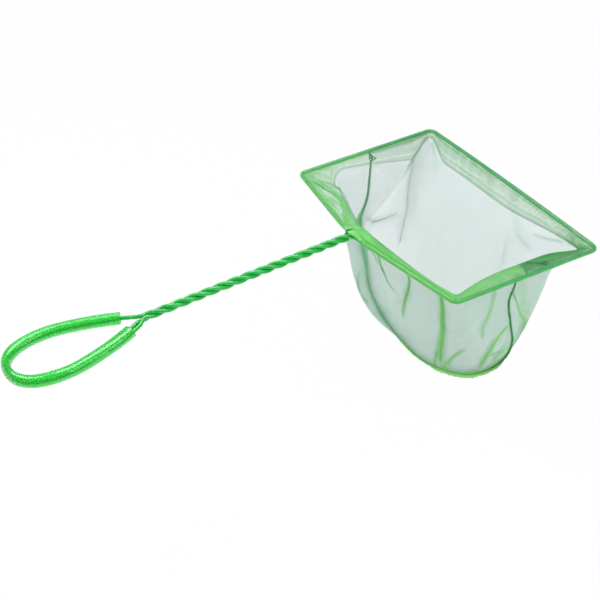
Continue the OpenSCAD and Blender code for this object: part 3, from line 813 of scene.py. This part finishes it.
hem = dict(step=0.8, wall=0.1, play=0.3, wrapTurn=250, wrapSteps=12, flapSteps=9,
           gap=0.25, ruffle=0.35, lobe=0.5, neckGap=0.4, neckReach=12, neckBack=3.2, endGap=0.2,
           cornerGathers=(0.2, 0.2, 0.45, 0.7), cornerReach=22, bunchReach=16, nearWire=0.25,
           rightBulk=0.05, halfBulk=-0.2,
           # the bunched cloth over the wires at the neck: angle, outwards and up in mm
           hood=((55, 1.0, 2.2), (97, 3.2, 2.7), (138, 5.0, 2.9), (180, 6.8, 3.2),
                 (201, 6.0, 3.5), (222, 3.0, 3.7), (242, 0.4, 2.8), (263, 0.2, 1.2), (284, 0, 0)),
           hoodReach=dict(hemLeft=12, hemRight=9, hemBack=9), crumple=0.35,
           streaks=0.45, neckDense=0.7,
           # the strip of doubled cloth from corner A to the neck: share of the way, place, width
           strip=((0, .30, .05), (.165, .42, .05), (.317, .72, .05), (.47, .84, .06),
                  (.634, .70, .08), (.72, .55, .10), (.87, .42, .18), (1, .38, .35)))


def casingFrame(path):
    along = headings(path)
    inward = np.stack([along[:, 1], -along[:, 0], np.zeros(len(path))], 1)
    inward = inward * np.sign((inward[:, :2] * -path).sum(1))[:, None]
    a = lean(path)[:, None]
    z = np.array([0, 0, 1.0])
    return np.cos(a) * inward - np.sin(a) * z, np.sin(a) * inward + np.cos(a) * z


def casingGrid(path, seed, reach):
    path = paced(path, int(arcLength(path)[-1] / hem["step"]))
    run = arcLength(path)
    inward, upward = casingFrame(path)
    # at the neck the cloth stands back from the wires that run into the handle
    back = 1 - smooth(awayFrom(neck, path) / hem["neckReach"])
    centre, tip = raised(path) + (hem["neckBack"] * back)[:, None] * inward, casingEdge(path)
    r = wireRadius + hem["play"]
    first = math.radians(180 - hem["wrapTurn"] / 2)
    angles = first + math.radians(hem["wrapTurn"]) * np.linspace(0, 1, hem["wrapSteps"] + 1)
    near = [share * smooth(1 - awayFrom(corner, path) / hem["cornerReach"])
            for share, corner in zip(hem["cornerGathers"], mouthCorners)]
    gathered = np.clip(np.clip(sum(near), 0, 1)
                       + smooth(1 - awayFrom(neck, path) / hem["bunchReach"]), 0, 1)
    # denser from the neck to corner D, and lighter from there to the middle of the right side
    bulk = (bySide(casing["bulk"], path)
            + hem["rightBulk"] * bySide((1, 0, 0, 0), path) * beyondNeck(path, -1)
            + hem["halfBulk"] * bySide((0, 0, 0, 1), path) * (path[:, 0] < 0))
    hood = smooth(1 - awayFrom(neck, path) / reach)
    hoodAngles, hoodOut, hoodUp = np.array(hem["hood"], float).T
    flap = np.linspace(1, 0, hem["flapSteps"], endpoint=False)
    rows = ([(t, first, hem["gap"]) for t in flap] + [(0, a, 0) for a in angles]
            + [(t, angles[-1], -hem["gap"]) for t in np.linspace(0, 1, hem["flapSteps"] + 1)[1:]])
    grid = []
    for t, a, gap in rows:
        turn = math.degrees(a)
        start = centre + r * (math.cos(a) * inward + math.sin(a) * upward)
        start = start + hood[:, None] * (np.interp(turn, hoodAngles, hoodUp) * upward
                                         - np.interp(turn, hoodAngles, hoodOut) * inward)
        crumple = hem["crumple"] * hood * wobble(run, turn / 9, seed + 5, 4.0)
        start = start + crumple[:, None] * upward
        end = tip + gap * upward
        point = start * (1 - t) + end * t
        if gap:
            # the flaps ripple where the cloth is gathered, most of all half way down
            wave = wobble(run, 6.0 * t, seed + (gap > 0), 5.5)
            amount = hem["ruffle"] * math.sin(math.pi * min(t, 0.85)) * (0.35 + 1.6 * gathered)
            puff = hem["lobe"] * math.sin(math.pi * t) * math.copysign(1, gap)
            point = point + (amount * wave + puff)[:, None] * upward
        grid.append(point)
    grid = np.array(grid)
    cross = spread(grid, 0)
    t = np.array([row[0] for row in rows])[:, None]
    pleat = np.maximum(0, wobble(run, 0, seed + 9, 3.2))[None] * gathered[None]
    # the wire shows clearly from the neck to corner D
    wrapBulk = bySide(casing["wrapBulk"], path) * np.where(
        path[:, 0] < -mouth["halfX"] + 1, beyondNeck(path), 1)
    streaks = np.maximum(0, wobble(0.08 * run[None], cross, seed + 3, 2.4)) * bySide(
        (1, 0.2, 0.2, 1), path)
    onStrip = 0
    if path[:, 1].max() > 0 and path[:, 0].min() < -mouth["halfX"] - 1:
        way, place, wide = np.array(hem["strip"], float).T
        along = np.clip((mouth["halfY"] - path[:, 1]) / (mouth["halfY"] - neck[1]), 0, 1)
        along = np.where(path[:, 0] < -mouth["halfX"] + 0.5, along, -1)
        onStrip = (along >= 0) * smooth(along / 0.08) * np.exp(
            -((t - np.interp(along, way, place)) / np.interp(along, way, wide)) ** 2 / 2)
    gather = (bulk[None] * smooth(3 * t) + wrapBulk[None] * (1 - smooth(3 * t))
              + hem["nearWire"] * bySide((0, 1, 1, 0), path) * np.exp(-((t - 0.1) / 0.09) ** 2)
              + 0.3 * gathered[None] * (0.1 + 0.9 * t) + 0.35 * pleat * smooth(3 * t)
              + hem["neckDense"] * back[None] + 0.65 * onStrip
              + hem["streaks"] * streaks * smooth(3 * t))
    cloth = np.stack([np.broadcast_to(run * 1.15, cross.shape), cross], -1)
    return grid, cloth, gather


hemA = neck + hem["neckGap"] * unit(np.array(cornerA) - neck)
hemD = neck + hem["neckGap"] * unit(np.array(cornerD) - neck)
endGap = np.array([hem["endGap"], 0])
hemPaths = dict(
    hemLeft=bent([middleA - endGap, cornerA, hemA], [0, bend, 0]),
    hemRight=bent([hemD, cornerD, middleD - endGap], [0, bend, 0]),
    hemBack=bent([middleD + endGap, cornerC, farPoint, cornerB, middleA + endGap],
                 [0, bend, farRadius, bend, 0]))
for number, (name, path) in enumerate(hemPaths.items()):
    grid, cloth, gather = casingGrid(path, 31 + 7 * number, hem["hoodReach"][name])
    finishPiece(
        sheetMesh(name, grid, cloth, gather, thickness=hem["wall"], flip=True),
        casingCloths[name], "hem_mesh", name.replace("hem", "hem_").lower())
print("casings made")

seam = dict(steps=700, threadSteps=4200, sides=10, thread=0.2, threadPitch=2.3, ruffle=0.35,
            wide={0: 1.2, .12: 1.4, .19: 3.4, .24: 2.6, .29: 1.5, .35: 1.4, .385: 2.9, .43: 1.4,
                  .5: 1.0, .545: 1.0, .565: 2.5, .68: 2.5, .7: 2.0, .78: 1.9, .8: 1.1, 1: 1.0},
            thick={0: 1.3, .12: 1.6, .19: 5.6, .24: 4.4, .29: 2.2, .34: 1.8, .39: 2.4, .43: 1.6,
                   .62: 1.6, .78: 1.2, .82: .9, 1: .9},
            shift={0: 0, .17: 0, .22: 1.8, .29: 0.6, .33: 0, 1: 0},
            # the share of the thread that shows, and how tightly the cloth is bunched
            threadShow={0: .9, .12: .9, .16: 0, .66: 0, .76: 1, 1: 1},
            tight={0: .75, .12: .7, .17: .0, .44: .0, .5: .45, .55: .4, .57: .2, .7: .25, .77: .6,
                   .8: 1, 1: 1})


def seamFrame(inset, count):
    share = np.linspace(seamTop * inset, 1 - seamTop * inset, count)
    line = onSeam(share)
    outward = unit(np.cross([1.0, 0, 0], headings(line)))
    return share, line, arcLength(line), outward * np.sign(
        ((line - [0, 0, -50]) * outward).sum(1))[:, None]


share, line, run, outward = seamFrame(0.5, seam["steps"] + 1)
across = np.array([1.0, 0, 0])
a = np.linspace(0, 2 * math.pi, seam["sides"], endpoint=False)
wide = keyed(seam["wide"], share) * (1 + 0.22 * wobble(run, 0, 41, 6))
thick = keyed(seam["thick"], share) * (1 + 0.15 * wobble(run, 0, 42, 4))
jag = seam["ruffle"] * wobble(run, 0, 43, 4.5) * (1 + 1.8 * smooth((share - .66) / .1))
seamGrid = (line[:, None] + (wide[:, None] * (0.5 + 0.5 * np.cos(a)))[..., None] * outward[:, None]
            + (thick[:, None] / 2 * np.sin(a) + jag[:, None] * np.cos(a)
               + keyed(seam["shift"], share)[:, None])[..., None] * across)
seamCross = np.broadcast_to(a * 1.2, (len(run), len(a)))
seamPiece = finishPiece(
    sheetMesh("bagSeam", seamGrid, np.stack([np.broadcast_to(run[:, None], seamCross.shape),
                                             seamCross], -1),
              np.broadcast_to(keyed(seam["tight"], share)[:, None], seamCross.shape),
              closed=True),
    seamCloth, "seam_edging", "bag_seam")

overShare, overLine, overRun, overOut = seamFrame(0.6, seam["threadSteps"])
phase = 2 * math.pi * overRun / seam["threadPitch"] + 0.8 * wobble(overRun, 0, 44, 9)
overWide = keyed({0: 1.0, .14: .9, .2: .2, .68: .2, .76: .75, 1: .75}, overShare)
threadPath = (overLine + (overWide * (0.5 + 0.62 * np.cos(phase)))[:, None] * overOut
              + (overWide * 0.75 * np.sin(phase))[:, None] * across)
seamThread = finishPiece(
    wirePiece("seamThread", [threadPath], seam["thread"], 1,
              [keyed(seam["threadShow"], overShare)]), darkThread, "sewing_thread")
print("seam sewn")

stitch = dict(length=2.3, gap=1.1, radius=0.14, inset=1.0, rise=0.42, neckInset=3.4, fine=0.55)


def onHandleSide(x):
    return smooth((-x - mouth["halfX"] + 4) / 4)


def stitchPaths(path):
    path = paced(path, int(arcLength(path)[-1] / 0.4))
    _, upward = casingFrame(path)
    edge = casingEdge(path, -stitch["inset"])
    # from corner A to the neck the row of stitches lies close to the wire
    close = onHandleSide(path[:, 0]) * smooth((path[:, 1] - 8) / 10)
    close = close[:, None]
    edge = edge * (1 - close) + inFromWire(path, stitch["neckInset"]) * close
    run = arcLength(path)
    out, thick = [], []
    at = 1.0
    while at + stitch["length"] < run[-1] - 1:
        t = np.linspace(0, 1, 7)
        where = at + stitch["length"] * t
        point, up = sampled(where, run, edge), sampled(where, run, upward)
        out.append(point + (stitch["rise"] * np.sin(math.pi * t) ** 0.5 + 0.05)[:, None] * up)
        # the thread shows most on the handle side and towards corner C
        x, y = np.interp(where[3], run, path[:, 0]), np.interp(where[3], run, path[:, 1])
        bold = max(onHandleSide(x), smooth((x - 30) / 15) * smooth((10 - y) / 30))
        thick.append(np.full(7, stitch["fine"] + (1 - stitch["fine"]) * bold))
        at += stitch["length"] + stitch["gap"] * rng.uniform(0.8, 1.2)
    return out, thick


for name, path in hemPaths.items():
    rows, thick = stitchPaths(path)
    finishPiece(wirePiece(name.replace("hem", "stitches"), rows, stitch["radius"], 1, thick),
                paleThread, "sewing_thread", name.replace("hem", "hem_thread_").lower())


def onCasing(p, inward, rise):
    # the point that lies this far in from the wire and this far above the cloth, in mm
    p = np.array(p, float)
    a, side = float(lean(p)), -math.copysign(1, p[1])
    up = np.array([0, side * math.sin(a), math.cos(a)])
    return inFromWire(p, inward) + rise * up, np.array([0, side * math.cos(a), -math.sin(a)]), up


def knotPath(p, inward, seed, size, count=260):
    r = np.random.default_rng(seed)
    t = np.linspace(0, 1, count)
    place, inwardWay, up = onCasing(p, inward, 1.9)
    path = np.zeros((count, 3))
    for k in range(1, 5):
        path += (r.uniform(-1, 1, 3) * np.sin(2 * math.pi * (k * t * 2.3 + r.random()))[:, None]
                 / k ** 0.6)
    path = path * np.array(size)
    return place + path[:, :1] * np.array([1.0, 0, 0]) + path[:, 1:2] * inwardWay + path[:, 2:] * up


# the loose end of the right knot: x along the casing, how far in from the wire and the rise
looseEnd = [(-2.5, -0.2, 2.3), (-1.5, 2.5, 2.2), (1.5, 5.6, 1.9), (5, 7.2, 1.8), (9, 5.2, 1.9),
            (12, 3.0, 2.0)]
looseEnd = spline([onCasing((x, -mouth["halfY"]), by, rise)[0] for x, by, rise in looseEnd], 12)
for name, node, p, inward, seed, size, ends in (
        ("knotLeft", "seam_knot_left", middleA, 4.6, 5, (1.7, 2.4, 0.5), []),
        ("knotRight", "seam_knot_right", (13.5, middleD[1]), 2.7, 9, (1.4, 1.0, 0.45), [looseEnd])):
    knot = knotPath(p, inward, seed, size)
    thick = [np.full(len(line), 1.5) for line in [knot] + ends]
    finishPiece(wirePiece(name, [knot] + ends, 0.22, 1, thick), darkThread, "sewing_thread", node)
print("stitches made")

studio = dict(floorSize=4.0, floorWhite=0.96, worldStrength=0.7, roomStrength=0.12, keyPower=1.9,
              keySize=0.22, fillPower=1.5, fillSize=0.5, glossPower=4.8, glossSize=(0.56, 0.4))
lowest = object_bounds()[0][2]
bpy.ops.object.select_all(action="DESELECT")
bpy.ops.mesh.primitive_plane_add(size=studio["floorSize"], location=(0, 0, lowest - 0.0005))
floor = bpy.context.object
floor.name = "floor"


def seenByCamera(tree):
    # 1 for rays from the camera and through clear plastic
    path = addNode(tree, "ShaderNodeLightPath")
    return path, maths(tree, "MAXIMUM", path.outputs["Is Camera Ray"],
                       path.outputs["Is Transmission Ray"])


paper, tree = newMaterial("whitePaper")
dull = addNode(tree, "ShaderNodeBsdfDiffuse", {"Color": linear("#F2F2F2")})
bright = addNode(tree, "ShaderNodeEmission", {"Color": linear("#FFFFFF"), "Strength": 1.0})
path, seen = seenByCamera(tree)
blend = addNode(tree, "ShaderNodeMixShader", {}, {
    0: maths(tree, "MULTIPLY", seen, studio["floorWhite"]), 1: dull.outputs[0],
    2: bright.outputs[0]})
addNode(tree, "ShaderNodeOutputMaterial", {}, {"Surface": blend.outputs[0]})
floor.data.materials.append(paper)

world = bpy.data.worlds.new("studio")
scene.world = world
world.use_nodes = True
tree = world.node_tree
tree.nodes.clear()
path, seen = seenByCamera(tree)
# the room round the light table is dimmer in reflections
room = addNode(tree, "ShaderNodeMapRange",
               {"To Min": studio["worldStrength"], "To Max": studio["roomStrength"]},
               {"Value": path.outputs["Is Glossy Ray"]})
strength = addNode(tree, "ShaderNodeMapRange", {"To Max": 1.0},
                   {"Value": seen, "To Min": room.outputs[0]})
sky = addNode(tree, "ShaderNodeBackground", {"Color": linear("#FFFFFF")},
              {"Strength": strength.outputs[0]})
addNode(tree, "ShaderNodeOutputWorld", {}, {"Surface": sky.outputs[0]})


def addLamp(name, place, target, size, power):
    bpy.ops.object.light_add(type="AREA", location=[c / 1000 for c in place])
    lamp = bpy.context.object
    lamp.name = name
    lamp.data.shape = "SQUARE"
    lamp.data.size = size
    lamp.data.energy = power
    aim = Vector([c / 1000 for c in target]) - lamp.location
    lamp.rotation_euler = aim.to_track_quat("-Z", "Y").to_euler()
    return lamp


addLamp("keyLamp", (-150, 250, 520), (120, 0, 0), studio["keySize"], studio["keyPower"])
addLamp("fillLamp", (350, -500, 450), (150, 0, -30), studio["fillSize"], studio["fillPower"])
# a soft box overhead that only shows as the long highlights in the gloss of wire and grip
softBox = addLamp("softBox", (300, 200, 600), (300, 200, 0), studio["glossSize"][0],
                  studio["glossPower"])
softBox.data.shape = "RECTANGLE"
softBox.data.size_y = studio["glossSize"][1]
softBox.visible_diffuse = False

# the camera stands off the middle of the mouth: angles in degrees, shifts and distance in mm
view = dict(azimuth=-122.44, elevation=38.50, roll=1.17, shiftRight=82.34, shiftUp=53.53,
            distance=580.7, lens=60.0, sensor=36.0)
az, el, roll = (math.radians(view[k]) for k in ("azimuth", "elevation", "roll"))
toCamera = np.array([math.cos(el) * math.cos(az), math.cos(el) * math.sin(az), math.sin(el)])
rightWay = unit(np.cross(-toCamera, [0, 0, 1]))
upWay = np.cross(rightWay, -toCamera)
right = rightWay * math.cos(roll) + upWay * math.sin(roll)
up = upWay * math.cos(roll) - rightWay * math.sin(roll)
eye = toFrame(toCamera * view["distance"] - right * view["shiftRight"] - up * view["shiftUp"])
bpy.ops.object.camera_add(location=eye.tolist())
camera = bpy.context.object
camera.rotation_euler = Matrix(np.stack([right, up, toCamera], 1).tolist()).to_euler()
camera.data.lens = view["lens"]
camera.data.sensor_width = view["sensor"]
camera.data.clip_start = 0.01
scene.camera = camera
scene.view_settings.view_transform = "Standard"
scene.cycles.transparent_max_bounces = 32
print("studio set")
